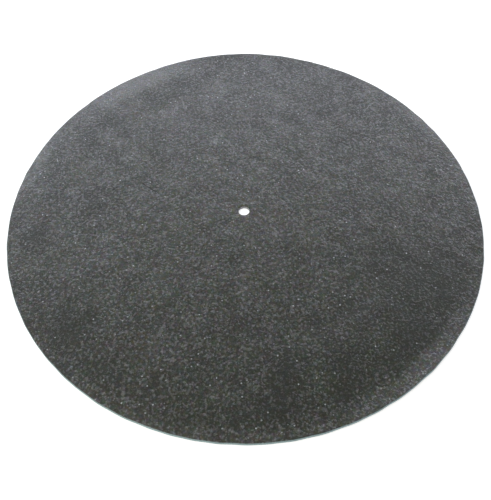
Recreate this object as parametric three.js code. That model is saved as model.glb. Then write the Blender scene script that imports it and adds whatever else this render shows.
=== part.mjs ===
// A turntable platter mat: one thin disc of black grain leather with a punched spindle hole.
// Millimetres, +Z up. The origin is the centre of the hole on the surface that the mat lies on.
// +Y points away from a viewer who looks down on the mat from the front.

import * as THREE from 'three';
import { mergeVertices } from 'three/addons/utils/BufferGeometryUtils.js';

// The disc
const matDiameter = 300;
const matThickness = 2.2;
const spindleHoleDiameter = 7;

// The cut edges: the die rounds the grain side over, at the rim and round the hole, and leaves the
// flesh side nearly sharp.
const grainEdgeRadius = 0.45;
const fleshEdgeRadius = 0.15;
const holeEdgeRadius = 0.3;

// The middle of the mat, which carries the record, lies flat. Ripples fade in outside it.
const flatDiameter = 184;
const rippleRunIn = 12;

// The hide has stretched a little along one diagonal, so the outline isn't a true circle.
const stretchAtRim = 0.7;
const stretchBearing = -50;
const lobeAtRim = 0.3;
const lobeCount = 3;
const lobeBearing = 86;

// Ripples left by storage. A bearing and a spread are in degrees round the disc from +X, a spread
// and a reach are half of the ripple's size, and a crest is its distance in from the cut edge.
const rearHump = { bearing: 124, spread: 34, inset: 18, reach: 24, height: 0.55 };
const sideHump = { bearing: 166, spread: 24, inset: 16, reach: 20, height: 0.4 };
const frontSwell = { bearing: -50, spread: 44, inset: 38, reach: 30, height: 0.8 };
const humps = [rearHump, sideHump, frontSwell];

// Stretches of the rim that curl up from the surface
const frontCurl = { bearing: -48, spread: 42, width: 12, height: 1.5 };
const rearCurl = { bearing: 92, spread: 30, width: 24, height: 0.9 };
const curls = [frontCurl, rearCurl];

// How finely the surfaces are divided
const segmentsRound = 120;
const ringSpacing = 5;
const innerRings = 3;
const edgeSteps = 2;

const leatherColour = 0x393b3a;
const leatherRoughness = 0.62;

const matRadius = matDiameter / 2;
const holeRadius = spindleHoleDiameter / 2;
const flatRadius = flatDiameter / 2;

// Radii of the rings on a face, from where it starts at the hole to where it ends at the rim
function faceRings(innerRadius, outerRadius) {
  const radii = [];
  for (let i = 0; i <= innerRings; i += 1) {
    radii.push(innerRadius + (flatRadius - innerRadius) * (i / innerRings) ** 2);
  }
  const outerRings = Math.max(1, Math.round((outerRadius - flatRadius) / ringSpacing));
  for (let i = 1; i <= outerRings; i += 1) {
    radii.push(flatRadius + (outerRadius - flatRadius) * (i / outerRings));
  }
  return radii;
}

// The closed section: underside outwards, up the cut edge, back over the grain side and down the
// wall of the hole. Each arc draws the line that leads to it.
function matSection() {
  const fleshRings = faceRings(holeRadius, matRadius - fleshEdgeRadius);
  const grainRings = faceRings(holeRadius + holeEdgeRadius, matRadius - grainEdgeRadius);
  const section = new THREE.Path();
  section.moveTo(holeRadius, 0);
  for (const radius of fleshRings.slice(1, -1)) {
    section.lineTo(radius, 0);
  }
  section.absarc(matRadius - fleshEdgeRadius, fleshEdgeRadius, fleshEdgeRadius,
    -Math.PI / 2, 0, false);
  section.absarc(matRadius - grainEdgeRadius, matThickness - grainEdgeRadius, grainEdgeRadius,
    0, Math.PI / 2, false);
  for (const radius of grainRings.slice(1, -1).reverse()) {
    section.lineTo(radius, matThickness);
  }
  section.absarc(holeRadius + holeEdgeRadius, matThickness - holeEdgeRadius, holeEdgeRadius,
    Math.PI / 2, Math.PI, false);
  section.closePath();
  return section.getPoints(edgeSteps);
}

// A smooth bump: 1 at t = 0, falling to exactly 0 where t is 1 or more either way
function bump(t) {
  return Math.abs(t) < 1 ? (1 - t * t) ** 2 : 0;
}

// The signed angle from one bearing to another, in degrees
function turn(from, to) {
  return THREE.MathUtils.euclideanModulo(to - from + 180, 360) - 180;
}

function humpLift(hump, radius, bearing) {
  const along = turn(hump.bearing, bearing) / hump.spread;
  const across = (radius - (matRadius - hump.inset)) / hump.reach;
  return hump.height * bump(along) * bump(across);
}

function curlLift(curl, radius, bearing) {
  const along = turn(curl.bearing, bearing) / curl.spread;
  const rise = Math.max(0, 1 - (matRadius - radius) / curl.width);
  return curl.height * bump(along) * rise ** 2;
}

// How far the leather stands off the surface it lies on
function lift(radius, bearing) {
  let height = 0;
  for (const hump of humps) {
    height += humpLift(hump, radius, bearing);
  }
  for (const curl of curls) {
    height += curlLift(curl, radius, bearing);
  }
  return height * THREE.MathUtils.smoothstep(radius, flatRadius, flatRadius + rippleRunIn);
}

// How far the outline lies outside a true circle, at a bearing
function outlineShift(bearing) {
  const stretch = Math.cos(2 * THREE.MathUtils.degToRad(bearing - stretchBearing));
  const lobes = Math.cos(lobeCount * THREE.MathUtils.degToRad(bearing - lobeBearing));
  return stretchAtRim * stretch + lobeAtRim * lobes;
}

// Moves each point of the flat disc to where the rippled leather has it
function ripple(geometry) {
  const place = geometry.getAttribute('position');
  for (let i = 0; i < place.count; i += 1) {
    const x = place.getX(i);
    const y = place.getY(i);
    const radius = Math.hypot(x, y);
    const bearing = THREE.MathUtils.radToDeg(Math.atan2(y, x));
    const share = (radius - holeRadius) / (matRadius - holeRadius);
    const outwards = 1 + outlineShift(bearing) * share / radius;
    place.setXYZ(i, x * outwards, y * outwards, place.getZ(i) + lift(radius, bearing));
  }
}

function makeMat() {
  let geometry = new THREE.LatheGeometry(matSection(), segmentsRound);
  geometry.rotateX(Math.PI / 2);
  geometry.deleteAttribute('normal');
  geometry.deleteAttribute('uv');
  geometry = mergeVertices(geometry);
  ripple(geometry);
  geometry.computeVertexNormals();
  const leather = new THREE.MeshStandardMaterial({
    color: leatherColour,
    roughness: leatherRoughness,
    metalness: 0,
  });
  const mat = new THREE.Mesh(geometry, leather);
  mat.name = 'mat';
  return mat;
}

const platterMat = new THREE.Group();
platterMat.add(makeMat());

export default platterMat;
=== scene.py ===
import math

import bpy
import numpy as np
from mathutils import Matrix, Vector


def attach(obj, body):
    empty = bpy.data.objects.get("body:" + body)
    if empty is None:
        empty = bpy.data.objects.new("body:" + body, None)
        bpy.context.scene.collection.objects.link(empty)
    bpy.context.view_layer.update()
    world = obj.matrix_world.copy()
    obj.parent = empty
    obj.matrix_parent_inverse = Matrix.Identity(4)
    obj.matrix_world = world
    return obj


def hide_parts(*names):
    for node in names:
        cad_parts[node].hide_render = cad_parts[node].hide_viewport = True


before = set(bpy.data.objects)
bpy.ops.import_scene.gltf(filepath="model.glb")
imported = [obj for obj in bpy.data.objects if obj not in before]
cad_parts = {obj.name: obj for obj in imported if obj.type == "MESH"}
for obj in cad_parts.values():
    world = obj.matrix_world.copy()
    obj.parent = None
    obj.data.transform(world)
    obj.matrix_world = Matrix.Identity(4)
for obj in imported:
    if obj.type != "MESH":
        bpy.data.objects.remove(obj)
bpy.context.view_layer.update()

# The mesh is worked out in millimetres and written in metres.
METRES = 0.001

# The disc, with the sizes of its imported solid
MAT_RADIUS = 150.0
THICKNESS = 2.2
HOLE_RADIUS = 3.5
GRAIN_EDGE = 0.45
FLESH_EDGE = 0.15
HOLE_EDGE = 0.3

# Storage has left the middle flat and the outer part rippled. A bearing and a spread are in
# degrees round the disc from +X, and an inset is a distance in from the cut edge.
FLAT_RADIUS = 92.0
RIPPLE_RUN_IN = 12.0
HUMPS = (
    dict(bearing=124, spread=34, inset=18, reach=24, height=0.55),
    dict(bearing=166, spread=24, inset=16, reach=20, height=0.4),
    dict(bearing=-50, spread=44, inset=38, reach=30, height=0.8),
)
CURLS = (
    dict(bearing=-48, spread=42, width=12, height=1.5),
    dict(bearing=92, spread=30, width=24, height=0.9),
)

# How far the outline leaves a true circle
STRETCH, STRETCH_BEARING = 0.7, -50
LOBE, LOBE_COUNT, LOBE_BEARING = 0.3, 3, 86

# Stretches of the rim painted pale, in from the cut edge: painted sheen for the light the raised
# rim catches
RIM_SHEEN_BANDS = (
    dict(bearing=123, spread=24, width=20, strength=2.7),
    dict(bearing=160, spread=24, width=10, strength=1.3),
    dict(bearing=27, spread=34, width=9, strength=1.5),
    dict(bearing=-102, spread=50, width=9, strength=0.8),
    dict(bearing=-46, spread=34, width=14, strength=1.5),
)

# Patches painted darker, or lighter where the strength is below zero: partly uneven dye, partly
# painted shade and sheen. The places are bearings in degrees and shares of the radius, and a size
# is half of the patch's width.
DYE_AND_SHADE_PATCHES = (
    dict(bearing=82, out=0.95, size=18, strength=-1.6),
    dict(bearing=103, out=0.95, size=14, strength=-1.0),
    dict(bearing=79, out=0.76, size=20, strength=-0.9),
    dict(bearing=100, out=0.71, size=20, strength=-1.6),
    dict(bearing=120, out=0.67, size=20, strength=-1.8),
    dict(bearing=112, out=0.80, size=14, strength=1.4),
    dict(bearing=130, out=0.80, size=20, strength=-2.0),
    dict(bearing=140, out=0.84, size=13, strength=0.8),
    dict(bearing=144, out=0.74, size=16, strength=-1.2),
    dict(bearing=98, out=0.54, size=16, strength=0.7),
    dict(bearing=48, out=0.34, size=14, strength=0.9),
    dict(bearing=68, out=0.93, size=12, strength=-0.8),
    dict(bearing=38, out=0.63, size=18, strength=1.0),
    dict(bearing=56, out=0.76, size=28, strength=0.9),
    dict(bearing=51, out=0.92, size=12, strength=0.4),
    dict(bearing=187, out=0.88, size=16, strength=3.0),
    dict(bearing=160, out=0.78, size=16, strength=-1.4),
    dict(bearing=177, out=0.65, size=27, strength=2.0),
    dict(bearing=199, out=0.66, size=15, strength=-1.8),
    dict(bearing=219, out=0.86, size=20, strength=3.0),
    dict(bearing=235, out=0.89, size=14, strength=1.4),
    dict(bearing=242, out=0.76, size=20, strength=-0.7),
    dict(bearing=228, out=0.50, size=20, strength=-0.7),
    dict(bearing=254, out=0.59, size=12, strength=0.6),
    dict(bearing=278, out=0.84, size=20, strength=2.3),
    dict(bearing=280, out=0.68, size=14, strength=0.9),
    dict(bearing=296, out=0.83, size=18, strength=1.6),
    dict(bearing=317, out=0.85, size=22, strength=1.6),
    dict(bearing=-45, out=0.52, size=22, strength=-0.7),
    dict(bearing=334, out=0.68, size=28, strength=1.0),
    dict(bearing=334, out=0.84, size=36, strength=1.7),
    dict(bearing=0, out=0.75, size=16, strength=-0.8),
    dict(bearing=356, out=0.91, size=14, strength=-0.4),
    dict(bearing=16, out=0.74, size=16, strength=-1.2),
    dict(bearing=31, out=0.84, size=18, strength=-1.4),
    # The wide patches below, 80 to 150 across, paint how the light falls off across the mat:
    # painted shade and sheen.
    dict(bearing=208, out=0.75, size=110, strength=-0.8),
    dict(bearing=-35, out=0.75, size=100, strength=0.8),
    dict(bearing=0, out=0.0, size=150, strength=-1.6),
    dict(bearing=0, out=0.0, size=16, strength=-2.6),
    dict(bearing=180, out=0.8, size=80, strength=-0.8),
    dict(bearing=4, out=0.8, size=80, strength=-0.8),
)

# Hairline creases in the grain: their two ends in millimetres, and their depths, 0 to 1
CREASES = (
    ((-66.8, 24.4), (-56.2, 16.5), 0.9),
    ((-71.4, 28.9), (-68.9, 26.9), 0.5),
    ((-86.1, 19.3), (-82.5, 22.8), 0.75),
    ((-78.9, 8.3), (-74.8, 4.2), 0.75),
    ((-84.1, 4.1), (-78.9, 0.0), 0.55),
    ((-54.7, 0.2), (-52.0, 2.2), 0.6),
    ((-101.3, 40.6), (-97.8, 35.5), 0.5),
    ((-86.0, 40.4), (-82.1, 42.4), 0.4),
    ((-107.5, 50.2), (-102.9, 46.0), 0.45),
    ((-93.2, 6.3), (-90.1, 2.6), 0.5),
)
CREASE_WIDTH = 0.85
CREASE_WAVER = 0.7
CREASE_WAVER_SIZE = 2.0

# The share of a painted rim sheen band's width over which it fades, and the dye's random clouds
RIM_SHEEN_FADE = 0.6
DYE_CLOUD = 0.35
DYE_CLOUD_LENGTH = 28.0
DYE_CLOUD_SEED = 29

# Unevenness that is too small for the solid: the cut wanders, and the hide's thickness varies.
# The wander dies away inwards by a power of the share of the radius.
CUT_WANDER = 0.08
CUT_WANDER_LENGTH = 14.0
CUT_WANDER_SEED = 3
CUT_WANDER_FALL = 8
THICKNESS_VARIATION = 0.05
THICKNESS_VARIATION_LENGTH = 19.0
THICKNESS_VARIATION_SEED = 11

# How finely the surfaces are divided
SEGMENTS = 600
GRAIN_RING_SPACING = 2.0
FLESH_RING_SPACING = 3.2
EDGE_STEPS = 4
CUT_STEPS = 2
HOLE_STEPS = 3
WALL_STEPS = 4

# The slope, in degrees, at which the dyed grain ends on the rounded rim and the cut begins
CUT_START = 30

# The photograph's frame in pixels, and the camera that saw the disc in it
PHOTO_SIZE = (491, 500)
FOCAL_PIXELS = 646.2
SENSOR = 36.0
CAMERA_ELEVATION = 56.43
CAMERA_ROLL = -1.49
CAMERA_DISTANCE = 400.25
CAMERA_AIM = (0.3, -28.83)

# Material slots of the mesh
GRAIN, CUT, FLESH = range(3)

# The grain's sizes in millimetres. A noise bends it, by a distance. Its tops are swellings, broken
# stretches of a net of wrinkles, and dots that are painted glints. Sparser specks are painted
# glints too. Grit, streaks and clouds vary its tone.
BEND_SIZE = 0.9
BEND = 0.8
SWELLING_SIZE = 1.5
NET_SIZE = 1.4
WRINKLE_WIDTH = 0.52
BREAK_SIZE = 1.5
GLINT_DOT_SPACING = 1.5
GLINT_SPECK_SPACING = 3.4
GRIT_SIZE = 1.3
STREAK_SIZE = 3.0
CLOUD_SIZE = 18.0
HUE_SIZE = 5.0

# The values of its noise between which each feature fades in
SWELLING_RANGE = (0.48, 0.74)
NET_RANGE = (0.55, 1.0)
GLINT_DOT_RANGE = (0.2, 0.95)
GLINT_SPECK_RANGE = (0.55, 1.0)
HUE_RANGE = (0.35, 0.65)

# The radii between which the painted glint dots and specks fade out, as shares of their spacing
GLINT_DOT_RADII = (0.12, 0.42)
GLINT_SPECK_RADII = (0.07, 0.18)

# The shares of grit, streaks and clouds in the tone. Where the tone is high, the dye is thin and
# the tops are pale. Where it is low, the tops keep the least share of that.
TONE_SHARES = (0.62, 0.24, 0.14)
THIN_RANGE = (0.40, 0.72)
PALE_RANGE = (0.36, 0.68)
PALE_LEAST = 0.32

# How strongly the mesh's marks act on the tone and the colour: the painted sheen on the rim, and
# the patches of uneven dye with painted shade and sheen
RIM_SHEEN_GAIN = 0.13
RIM_SHEEN_ON_TOPS = 0.04
DYE_AND_SHADE_GAIN = 0.058

# How far in from the cut edge the pale core shows through, and how the grit breaks it up
EDGE_BLEED = (0.1, 0.5)
EDGE_GRIT = (0.2, 0.8)
EDGE_LEAST = 0.55

# The dye's red, green and blue drift from grain to grain, by these shares and at a size
TINT_SHARES = (1.85, 1.3, 2.75)
TINT_SIZE = 2.4
BROAD_TINT = 0.19
BROAD_TINT_SIZE = 14.0
RUBBED_TINT = 0.22

# The pits and creases stay matt, and what rubs the tops also polishes them. The polish goes by
# shares of the swellings and the tone.
POLISH_SHARES = (0.6, 0.4)
POLISH_RANGE = (0.40, 0.62)
PIT_ROUGHNESS = 0.44
TOP_ROUGHNESS = 0.27
CREASE_ROUGHNESS = 0.3

# Depths of the relief in millimetres
TOP_RELIEF = 0.06
GRIT_RELIEF = 0.10
STREAK_RELIEF = 0.12
CREASE_RELIEF = 0.12
FIBRE_RELIEF = 0.15
NAP_RELIEF = 0.2

# The fibres of the cut edge
FIBRE_SIZE = 0.35
FIBRE_RANGE = (0.3, 0.7)
CUT_ROUGHNESS = 0.85

# The nap of the underside
NAP_SIZE = 0.5
NAP_CLOUD_SIZE = 14.0
NAP_SHARES = (0.7, 0.3)
NAP_RANGE = (0.35, 0.65)
FLESH_ROUGHNESS = 0.9
SHEEN = 0.3
SHEEN_ROUGHNESS = 0.6

# Colours of the leather, linear
PIT_OLIVE = (0.010, 0.011, 0.003, 1)
PIT_BLUE = (0.010, 0.013, 0.007, 1)
DYE_THIN = (0.046, 0.048, 0.038, 1)
RUBBED = (0.144, 0.146, 0.145)
# A painted glint
PAINTED_GLINT = (0.35, 0.37, 0.38, 1)
# Painted shade in the creases
CREASE_SHADE = (0.002, 0.002, 0.002, 1)
CORE = (0.35, 0.47, 0.50, 1)
CORE_PALE = (0.62, 0.80, 0.83, 1)
# Painted light on the shaded wall of the punched hole
HOLE_WALL_PAINTED_LIGHT = (0.52, 0.51, 0.56, 1)
FLESH_DARK = (0.028, 0.030, 0.031, 1)
FLESH_PALE = (0.075, 0.080, 0.082, 1)
WHITE = (1, 1, 1, 1)

# The light: the world's even fill, and softboxes that face the mat, in metres and watts. Those
# behind it have a name, a bearing from straight behind, a power and a colour.
WORLD_FILL = 0.36
BACK_SOFTBOXES = (
    ("back_left_softbox", -42, 5.0, (0.800, 0.845, 1.0)),
    ("back_softbox", 0, 4.8, (0.815, 0.845, 1.0)),
    ("back_right_softbox", 42, 4.4, (0.835, 0.845, 0.985)),
)
BACK_REACH = 1.15
BACK_HEIGHT = 0.78
BACK_SIZE = (0.85, 0.42)
FRONT_PLACE = (-0.8, -0.5, 0.9)
FRONT_SIZE = (1.0, 1.0)
FRONT_POWER = 7.0
FRONT_COLOUR = (0.985, 0.985, 0.80)
# The sines of the elevations between which the mirrored backdrop fades to the fill
BACKDROP_FADE = (0.3, 0.9)

# The floor: its grey, the glow that makes it white to the camera, half of its side in metres, and
# how far it lies below the mat
FLOOR_GREY = 0.6
FLOOR_GLOW = 0.72
FLOOR_HALF = 3.0
FLOOR_DROP = 0.00003


def bump(t):
    """1 at t = 0, falling smoothly to 0 at 1 either way."""
    return np.where(np.abs(t) < 1, (1 - t * t) ** 2, 0)


def turn(start, bearing):
    """The signed angle in degrees from one bearing to others."""
    return (bearing - start + 180) % 360 - 180


def lift(radius, bearing):
    """How far the rippled leather stands off the surface it lies on."""
    height = np.zeros_like(radius)
    for hump in HUMPS:
        along = bump(turn(hump["bearing"], bearing) / hump["spread"])
        across = bump((radius - (MAT_RADIUS - hump["inset"])) / hump["reach"])
        height += hump["height"] * along * across
    for curl in CURLS:
        along = bump(turn(curl["bearing"], bearing) / curl["spread"])
        rise = np.clip(1 - (MAT_RADIUS - radius) / curl["width"], 0, None)
        height += curl["height"] * along * rise**2
    run_in = np.clip((radius - FLAT_RADIUS) / RIPPLE_RUN_IN, 0, 1)
    return height * run_in**2 * (3 - 2 * run_in)


def outline_shift(bearing):
    """How far the outline lies outside a true circle."""
    stretch = np.cos(2 * np.radians(bearing - STRETCH_BEARING))
    lobes = np.cos(LOBE_COUNT * np.radians(bearing - LOBE_BEARING))
    return STRETCH * stretch + LOBE * lobes


def swell(x, y, length, seed, waves=24):
    """A smooth random field of unit variance, with waves of about one length in all directions."""
    rng = np.random.default_rng(seed)
    headings = rng.uniform(0, 2 * np.pi, waves)
    phases = rng.uniform(0, 2 * np.pi, waves)
    lengths = length * rng.uniform(0.7, 1.5, waves)
    total = np.zeros_like(x)
    for heading, phase, wave in zip(headings, phases, lengths):
        along = x * np.cos(heading) + y * np.sin(heading)
        total += np.sin(2 * np.pi * along / wave + phase)
    return total * np.sqrt(2 / waves)


def painted_rim_sheen(inset, bearing):
    """How much painted sheen lightens the rim, 0 where there is none."""
    share = np.zeros_like(inset)
    for rim_sheen in RIM_SHEEN_BANDS:
        along = bump(turn(rim_sheen["bearing"], bearing) / rim_sheen["spread"])
        inwards = np.clip((rim_sheen["width"] - inset) / rim_sheen["width"] / RIM_SHEEN_FADE, 0, 1)
        share += rim_sheen["strength"] * along * inwards**2 * (3 - 2 * inwards)
    return share


def dye_and_shade_depth(x, y):
    """How much darker than elsewhere the leather is painted, below 0 where lighter: partly uneven
    dye, partly painted shade and sheen.
    """
    depth = DYE_CLOUD * swell(x, y, DYE_CLOUD_LENGTH, DYE_CLOUD_SEED)
    for patch in DYE_AND_SHADE_PATCHES:
        bearing = math.radians(patch["bearing"])
        centre_x = patch["out"] * MAT_RADIUS * math.cos(bearing)
        centre_y = patch["out"] * MAT_RADIUS * math.sin(bearing)
        depth += patch["strength"] * bump(np.hypot(x - centre_x, y - centre_y) / patch["size"])
    return depth


def quarter(centre, radius, start, stop, steps):
    """Points (radius from the axis, height) on a rounded edge, without its first point."""
    angles = np.radians(np.linspace(start, stop, steps + 1)[1:])
    return [(centre[0] + radius * np.cos(a), centre[1] + radius * np.sin(a)) for a in angles]


def straight(start, stop, steps):
    """Points on a straight stretch of the section, without its first point."""
    shares = np.linspace(0, 1, steps + 1)[1:]
    return [tuple(np.add(start, share * np.subtract(stop, start))) for share in shares]


def section():
    """The closed section as points (radius, height, slot of the band that ends there)."""
    top, wall = THICKNESS, MAT_RADIUS
    hole_top = (HOLE_RADIUS + HOLE_EDGE, top)
    rim_top = (wall - GRAIN_EDGE, top)
    rim_low = (wall, FLESH_EDGE)
    flesh_out = (wall - FLESH_EDGE, 0.0)
    hole_low = (HOLE_RADIUS, 0.0)
    grain_rings = round((rim_top[0] - hole_top[0]) / GRAIN_RING_SPACING)
    flesh_rings = round((flesh_out[0] - hole_low[0]) / FLESH_RING_SPACING)
    parts = (
        (GRAIN, straight(hole_top, rim_top, grain_rings)),
        (GRAIN, quarter((rim_top[0], top - GRAIN_EDGE), GRAIN_EDGE, 90, CUT_START, EDGE_STEPS)),
        (CUT, quarter((rim_top[0], top - GRAIN_EDGE), GRAIN_EDGE, CUT_START, 0, CUT_STEPS)),
        (CUT, straight((wall, top - GRAIN_EDGE), rim_low, WALL_STEPS)),
        (CUT, quarter((flesh_out[0], FLESH_EDGE), FLESH_EDGE, 0, -90, CUT_STEPS)),
        (FLESH, straight(flesh_out, hole_low, flesh_rings)),
        (CUT, straight(hole_low, (HOLE_RADIUS, top - HOLE_EDGE), WALL_STEPS)),
        (GRAIN, quarter((hole_top[0], top - HOLE_EDGE), HOLE_EDGE, 180, 90, HOLE_STEPS)),
    )
    return [(*point, slot) for slot, points in parts for point in points]


def mat_points(radius, height, bearing):
    """Where the rippled, stretched leather has points of the flat disc."""
    share = (radius - HOLE_RADIUS) / (MAT_RADIUS - HOLE_RADIUS)
    x, y = radius * np.cos(np.radians(bearing)), radius * np.sin(np.radians(bearing))
    wander = CUT_WANDER * swell(x, y, CUT_WANDER_LENGTH, CUT_WANDER_SEED) * share**CUT_WANDER_FALL
    outwards = radius + outline_shift(bearing) * share + wander
    variation = swell(x, y, THICKNESS_VARIATION_LENGTH, THICKNESS_VARIATION_SEED)
    substance = 1 + THICKNESS_VARIATION * variation / 2
    z = height * substance + lift(radius, bearing)
    return np.stack(
        [outwards * np.cos(np.radians(bearing)), outwards * np.sin(np.radians(bearing)), z], -1
    )


def make_mat():
    """The disc as one closed mesh, with the marks that its materials read kept on its points."""
    rings = section()
    radius = np.array([ring[0] for ring in rings])[:, None]
    height = np.array([ring[1] for ring in rings])[:, None]
    bearing = np.linspace(0, 360, SEGMENTS, endpoint=False)[None, :]
    radius, height, bearing = np.broadcast_arrays(radius, height, bearing)
    points = mat_points(radius, height, bearing).reshape(-1, 3) * METRES
    ring, step = np.meshgrid(np.arange(len(rings)), np.arange(SEGMENTS), indexing="ij")
    before = (ring - 1) % len(rings)
    after = (step + 1) % SEGMENTS
    corners = ((before, step), (ring, step), (ring, after), (before, after))
    faces = np.stack([row * SEGMENTS + column for row, column in corners], -1).reshape(-1, 4)
    mesh = bpy.data.meshes.new("mat_leather")
    mesh.from_pydata(points.tolist(), [], faces.tolist())
    slots = np.repeat([ring[2] for ring in rings], SEGMENTS)
    mesh.polygons.foreach_set("material_index", slots.astype(np.int32))
    mesh.polygons.foreach_set("use_smooth", np.ones(len(faces), bool))
    inset = MAT_RADIUS - radius
    x, y = radius * np.cos(np.radians(bearing)), radius * np.sin(np.radians(bearing))
    # The rim's painted sheen and the patches of uneven dye with painted shade and sheen are kept as
    # marks.
    marks = (("inset", inset), ("painted_rim_sheen", painted_rim_sheen(inset, bearing)), ("dye_and_shade_depth", dye_and_shade_depth(x, y)))
    for name, values in marks:
        attribute = mesh.attributes.new(name, "FLOAT", "POINT")
        attribute.data.foreach_set("value", values.ravel().astype(np.float32))
    mesh.update()
    mat = bpy.data.objects.new("mat_leather", mesh)
    bpy.context.scene.collection.objects.link(mat)
    return mat


def node(tree, kind, inputs=None, **settings):
    """A shader node with its settings and inputs. An input is a value or another node's output."""
    made = tree.nodes.new("ShaderNode" + kind)
    for name, value in settings.items():
        setattr(made, name, value)
    for socket, value in (inputs or {}).items():
        if isinstance(value, bpy.types.NodeSocket):
            tree.links.new(value, made.inputs[socket])
        else:
            made.inputs[socket].default_value = value
    return made


def maths(tree, operation, a, b=0.0):
    return node(tree, "Math", {0: a, 1: b}, operation=operation).outputs[0]


def ramp(tree, value, low, high, to_low=0.0, to_high=1.0):
    """Value from low to high, taken smoothly to to_low to to_high and held outside."""
    inputs = {"Value": value, "From Min": low, "From Max": high}
    inputs.update({"To Min": to_low, "To Max": to_high})
    made = node(tree, "MapRange", inputs, interpolation_type="SMOOTHSTEP")
    return made.outputs["Result"]


def mix(tree, share, a, b):
    made = node(tree, "Mix", {0: share}, data_type="RGBA")
    for socket, value in ((made.inputs[6], a), (made.inputs[7], b)):
        if isinstance(value, bpy.types.NodeSocket):
            tree.links.new(value, socket)
        else:
            socket.default_value = value
    return made.outputs[2]


def noise(tree, place, size, detail=2.0, roughness=0.5):
    """Noise with features of a size in millimetres, about 0 to 1."""
    inputs = {"Vector": place, "Scale": 1 / size, "Detail": detail, "Roughness": roughness}
    return node(tree, "TexNoise", inputs)


def cells(tree, place, size, feature="F1"):
    inputs = {"Vector": place, "Scale": 1 / size}
    return node(tree, "TexVoronoi", inputs, feature=feature)


def new_material(name):
    material = bpy.data.materials.new(name)
    material.use_nodes = True
    material.node_tree.nodes.clear()
    return material, material.node_tree


def mark(tree, name):
    """A value that the mesh keeps on its points."""
    return node(tree, "Attribute", attribute_name=name).outputs["Fac"]


def surface_place(tree):
    """The place on the object in millimetres."""
    place = node(tree, "TexCoord").outputs["Object"]
    scaled = node(tree, "VectorMath", {0: place, "Scale": 1 / METRES}, operation="SCALE")
    return scaled.outputs[0]


def moved(tree, place, by, amount):
    """A place moved about by a noise's colour, up to half of amount each way."""
    centred = node(tree, "VectorMath", {0: by, 1: (0.5, 0.5, 0.5)}, operation="SUBTRACT").outputs[0]
    shift = node(tree, "VectorMath", {0: centred, "Scale": amount}, operation="SCALE").outputs[0]
    return node(tree, "VectorMath", {0: place, 1: shift}, operation="ADD").outputs[0]


def total(tree, *terms):
    """The sum of (value, weight) pairs."""
    result = maths(tree, "MULTIPLY", *terms[0])
    for value, weight in terms[1:]:
        inputs = {0: value, 1: weight, 2: result}
        result = node(tree, "Math", inputs, operation="MULTIPLY_ADD").outputs[0]
    return result


def finish_surface(tree, colour, roughness, relief, **fixed):
    """A Principled surface with the bump of a relief in millimetres."""
    bumped = node(tree, "Bump", {"Height": relief, "Distance": METRES, "Strength": 1.0})
    inputs = {"Base Color": colour, "Roughness": roughness, "Normal": bumped.outputs[0]}
    inputs.update(fixed)
    shader = node(tree, "BsdfPrincipled", inputs)
    node(tree, "OutputMaterial", {"Surface": shader.outputs[0]})


def grain_tint(tree, place):
    """A tint whose three channels drift apart from grain to grain, and a little over patches."""
    fine = noise(tree, place, TINT_SIZE, 1.0).outputs["Color"]
    broad = noise(tree, place, BROAD_TINT_SIZE, 1.0).outputs["Color"]
    drift = mix(tree, BROAD_TINT, fine, broad)
    inputs = {0: drift, 1: TINT_SHARES, 2: [1 - share / 2 for share in TINT_SHARES]}
    return node(tree, "VectorMath", inputs, operation="MULTIPLY_ADD").outputs[0]


def times(tree, a, b):
    """Two colours multiplied."""
    return node(tree, "VectorMath", {0: a, 1: b}, operation="MULTIPLY").outputs[0]


def wrinkles(tree, place, size, seen):
    """The tops of a net of wrinkles with meshes of a size, 0 to 1, broken up where seen is low."""
    reach = cells(tree, place, size, "DISTANCE_TO_EDGE").outputs["Distance"]
    return maths(tree, "MULTIPLY", ramp(tree, reach, 0.0, WRINKLE_WIDTH / size, 1.0, 0.0), seen)


def spots(tree, place, spacing, radii, seen):
    """Round spots at a spacing, 0 to 1, some of them stronger than others."""
    cell = cells(tree, place, spacing)
    share = node(tree, "SeparateColor", {0: cell.outputs["Color"]}).outputs[0]
    spot = ramp(tree, cell.outputs["Distance"], *radii, 1.0, 0.0)
    return maths(tree, "MULTIPLY", spot, ramp(tree, share, *seen))


def grain_tops(tree, place, bent):
    """The grain's raised tops and painted glint dots, 0 to 1, and the noise that its swellings come
    from.
    """
    swelling = noise(tree, bent, SWELLING_SIZE, 1.0).outputs["Fac"]
    breaks = noise(tree, place, BREAK_SIZE, 1.0).outputs["Color"]
    broken = node(tree, "SeparateColor", {0: breaks}).outputs[1]
    net = wrinkles(tree, bent, NET_SIZE, ramp(tree, broken, *NET_RANGE))
    # The dots are painted glints.
    glint_dots = spots(tree, bent, GLINT_DOT_SPACING, GLINT_DOT_RADII, GLINT_DOT_RANGE)
    tops = maths(tree, "MAXIMUM", ramp(tree, swelling, *SWELLING_RANGE), net)
    return maths(tree, "MAXIMUM", tops, glint_dots), swelling


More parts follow.
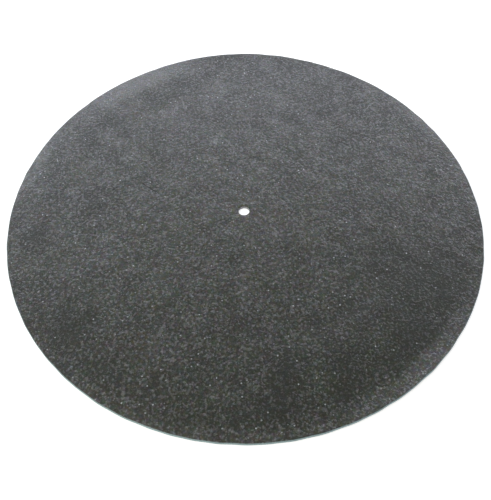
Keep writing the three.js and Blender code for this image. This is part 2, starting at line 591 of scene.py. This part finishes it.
def grain_leather():
    """The dyed grain side: dark pits between raised tops, which handling has rubbed pale, with
    painted glints, painted sheen on the rim and painted shade in the creases.
    """
    material, tree = new_material("grain_leather")
    place = surface_place(tree)
    bent = moved(tree, place, noise(tree, place, BEND_SIZE, 3.0, 0.6).outputs["Color"], BEND)
    tops, swelling = grain_tops(tree, place, bent)
    grit = noise(tree, place, GRIT_SIZE).outputs["Fac"]
    streak = noise(tree, bent, STREAK_SIZE, 4.0, 0.7).outputs["Fac"]
    cloud = noise(tree, place, CLOUD_SIZE, 3.0, 0.55).outputs["Fac"]
    crease = creases(tree, place)
    # Painted sheen along stretches of the rim
    rim_sheen = mark(tree, "painted_rim_sheen")

    tone = total(tree, *zip((grit, streak, cloud), TONE_SHARES))
    # The painted rim sheen lightens the tone, and the patches darken or lighten it with uneven dye
    # and painted shade and sheen.
    tone = total(tree, (tone, 1.0), (rim_sheen, RIM_SHEEN_GAIN), (mark(tree, "dye_and_shade_depth"), -DYE_AND_SHADE_GAIN))
    hue = noise(tree, place, HUE_SIZE).outputs["Fac"]
    ground = mix(tree, ramp(tree, hue, *HUE_RANGE), PIT_OLIVE, PIT_BLUE)
    ground = mix(tree, ramp(tree, tone, *THIN_RANGE), ground, DYE_THIN)
    pale = maths(tree, "MULTIPLY", tops, ramp(tree, tone, *PALE_RANGE, PALE_LEAST, 1.0))
    # The painted rim sheen also pales the tops.
    pale = total(tree, (pale, 1.0), (rim_sheen, RIM_SHEEN_ON_TOPS))
    tint = grain_tint(tree, place)
    rubbed_tint = mix(tree, RUBBED_TINT, WHITE, tint)
    colour = mix(tree, pale, times(tree, ground, tint), times(tree, rubbed_tint, RUBBED))
    # Painted glints: sparse bright specks painted over the grain
    glint_specks = spots(tree, place, GLINT_SPECK_SPACING, GLINT_SPECK_RADII, GLINT_SPECK_RANGE)
    colour = mix(tree, glint_specks, colour, PAINTED_GLINT)
    # Painted shade: the creases are painted near black.
    colour = mix(tree, crease, colour, CREASE_SHADE)
    edge = ramp(tree, mark(tree, "inset"), *EDGE_BLEED, 1.0, 0.0)
    edge = maths(tree, "MULTIPLY", edge, ramp(tree, grit, *EDGE_GRIT, EDGE_LEAST, 1.0))
    colour = mix(tree, edge, colour, CORE)

    polish = total(tree, *zip((swelling, tone), POLISH_SHARES))
    roughness = ramp(tree, polish, *POLISH_RANGE, PIT_ROUGHNESS, TOP_ROUGHNESS)
    roughness = total(tree, (roughness, 1.0), (crease, CREASE_ROUGHNESS))
    raised = ((tops, TOP_RELIEF), (grit, GRIT_RELIEF), (streak, STREAK_RELIEF))
    finish_surface(tree, colour, roughness, total(tree, *raised, (crease, -CREASE_RELIEF)))
    return material


def creases(tree, place):
    """The depth of the hairline creases, 0 to 1."""
    flat = node(tree, "VectorMath", {0: place, 1: (1, 1, 0)}, operation="MULTIPLY").outputs[0]
    waver = noise(tree, flat, CREASE_WAVER_SIZE, 1.0).outputs["Color"]
    wavering = moved(tree, flat, waver, CREASE_WAVER)
    deepest = 0.0
    for start, end, depth in CREASES:
        run = Vector((*end, 0)) - Vector((*start, 0))
        offset = node(tree, "VectorMath", {0: wavering, 1: (*start, 0)}, operation="SUBTRACT")
        inputs = {0: offset.outputs[0], 1: run / run.length_squared}
        share = node(tree, "VectorMath", inputs, operation="DOT_PRODUCT").outputs["Value"]
        share = node(tree, "Clamp", {"Value": share}).outputs[0]
        foot = node(tree, "VectorMath", {0: run, "Scale": share}, operation="SCALE").outputs[0]
        away = node(tree, "VectorMath", {0: offset.outputs[0], 1: foot}, operation="DISTANCE")
        crease = ramp(tree, away.outputs["Value"], 0.0, CREASE_WIDTH, depth, 0.0)
        deepest = maths(tree, "MAXIMUM", deepest, crease)
    return deepest


def cut_leather():
    """The cut edge: the pale fibrous core of the hide. The punched hole's wall has its own grey
    instead, painted light that lifts the shade it lies in.
    """
    material, tree = new_material("cut_leather")
    place = surface_place(tree)
    fibre = noise(tree, place, FIBRE_SIZE, 4.0, 0.6).outputs["Fac"]
    rim = mix(tree, ramp(tree, fibre, *FIBRE_RANGE), CORE, CORE_PALE)
    in_hole = ramp(tree, mark(tree, "inset"), MAT_RADIUS / 3, MAT_RADIUS / 2)
    # The hole's wall takes painted light in place of the core's colour.
    colour = mix(tree, in_hole, rim, HOLE_WALL_PAINTED_LIGHT)
    finish_surface(tree, colour, CUT_ROUGHNESS, maths(tree, "MULTIPLY", fibre, FIBRE_RELIEF))
    return material


def flesh_leather():
    """The underside: the same dye on a short nap."""
    material, tree = new_material("flesh_leather")
    place = surface_place(tree)
    nap = noise(tree, place, NAP_SIZE, 5.0, 0.65).outputs["Fac"]
    cloud = noise(tree, place, NAP_CLOUD_SIZE, 3.0).outputs["Fac"]
    share = total(tree, *zip((nap, cloud), NAP_SHARES))
    colour = mix(tree, ramp(tree, share, *NAP_RANGE), FLESH_DARK, FLESH_PALE)
    sheen = {"Sheen Weight": SHEEN, "Sheen Roughness": SHEEN_ROUGHNESS}
    relief = maths(tree, "MULTIPLY", nap, NAP_RELIEF)
    finish_surface(tree, colour, FLESH_ROUGHNESS, relief, **sheen)
    return material


def camera_share(tree):
    """1 for what the camera sees, itself or in a mirror or glass, else 0."""
    path = node(tree, "LightPath").outputs
    seen = maths(tree, "MAXIMUM", path["Is Camera Ray"], path["Is Glossy Ray"])
    return maths(tree, "MAXIMUM", seen, path["Is Transmission Ray"])


def make_floor():
    """A pale floor that the camera sees as white, apart from the mat's shadow."""
    material, tree = new_material("pale_floor")
    grey = (FLOOR_GREY, FLOOR_GREY, FLOOR_GREY, 1)
    diffuse = node(tree, "BsdfDiffuse", {"Color": grey}).outputs[0]
    strength = maths(tree, "MULTIPLY", camera_share(tree), FLOOR_GLOW)
    glow = node(tree, "Emission", {"Color": WHITE, "Strength": strength}).outputs[0]
    both = node(tree, "AddShader", {0: diffuse, 1: glow}).outputs[0]
    node(tree, "OutputMaterial", {"Surface": both})
    mesh = bpy.data.meshes.new("floor")
    sides = ((-1, -1), (1, -1), (1, 1), (-1, 1))
    corners = [(FLOOR_HALF * x, FLOOR_HALF * y, -FLOOR_DROP) for x, y in sides]
    mesh.from_pydata(corners, [], [(0, 1, 2, 3)])
    mesh.materials.append(material)
    floor = bpy.data.objects.new("floor", mesh)
    bpy.context.scene.collection.objects.link(floor)


def make_world():
    """An even fill, but white to the camera, and white near the horizon to what mirrors it."""
    world = bpy.data.worlds.new("studio")
    world.use_nodes = True
    tree = world.node_tree
    tree.nodes.clear()
    heading = node(tree, "TexCoord").outputs["Generated"]
    height = node(tree, "SeparateXYZ", {0: heading}).outputs["Z"]
    path = node(tree, "LightPath").outputs
    mirrored = maths(tree, "MAXIMUM", path["Is Glossy Ray"], path["Is Transmission Ray"])
    mirrored = maths(tree, "MULTIPLY", mirrored, ramp(tree, height, *BACKDROP_FADE, 1.0, 0.0))
    seen = maths(tree, "MAXIMUM", path["Is Camera Ray"], mirrored)
    strength = ramp(tree, seen, 0.0, 1.0, WORLD_FILL, 1.0)
    background = node(tree, "Background", {"Color": WHITE, "Strength": strength})
    node(tree, "OutputWorld", {"Surface": background.outputs[0]})
    bpy.context.scene.world = world


def make_lamp(name, place, size, power, colour):
    """A rectangular softbox at a place, facing the mat's centre."""
    lamp = bpy.data.lights.new(name, "AREA")
    lamp.shape = "RECTANGLE"
    lamp.size, lamp.size_y = size
    lamp.energy = power
    lamp.color = colour
    holder = bpy.data.objects.new(name, lamp)
    holder.location = place
    holder.rotation_mode = "QUATERNION"
    holder.rotation_quaternion = (-Vector(place)).to_track_quat("-Z", "Y")
    bpy.context.scene.collection.objects.link(holder)


def make_camera():
    """The camera at the photograph's viewing angle, worked out from the disc's outline and hole."""
    data = bpy.data.cameras.new("photo_camera")
    data.sensor_width = SENSOR
    data.lens = FOCAL_PIXELS / max(PHOTO_SIZE) * SENSOR
    data.clip_start, data.clip_end = 0.01, 20
    camera = bpy.data.objects.new("photo_camera", data)
    tilt, roll = math.radians(CAMERA_ELEVATION), math.radians(CAMERA_ROLL)
    back = Vector((0, -math.cos(tilt), math.sin(tilt)))
    level = Vector((1, 0, 0))
    upright = back.cross(level)
    right = math.cos(roll) * level + math.sin(roll) * upright
    up = math.cos(roll) * upright - math.sin(roll) * level
    place = Vector((*CAMERA_AIM, 0)) + CAMERA_DISTANCE * back
    turned = Matrix((right, up, back)).transposed().to_4x4()
    camera.matrix_world = Matrix.Translation(place * METRES) @ turned
    bpy.context.scene.collection.objects.link(camera)
    bpy.context.scene.camera = camera


make_camera()
mat = make_mat()
for material in (grain_leather(), cut_leather(), flesh_leather()):
    mat.data.materials.append(material)
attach(mat, "root")
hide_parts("mat")

make_floor()
make_world()
for name, azimuth, power, colour in BACK_SOFTBOXES:
    turned = math.radians(azimuth)
    place = (BACK_REACH * math.sin(turned), BACK_REACH * math.cos(turned), BACK_HEIGHT)
    make_lamp(name, place, BACK_SIZE, power, colour)
make_lamp("front_softbox", FRONT_PLACE, FRONT_SIZE, FRONT_POWER, FRONT_COLOUR)

bpy.context.scene.view_settings.view_transform = "Standard"
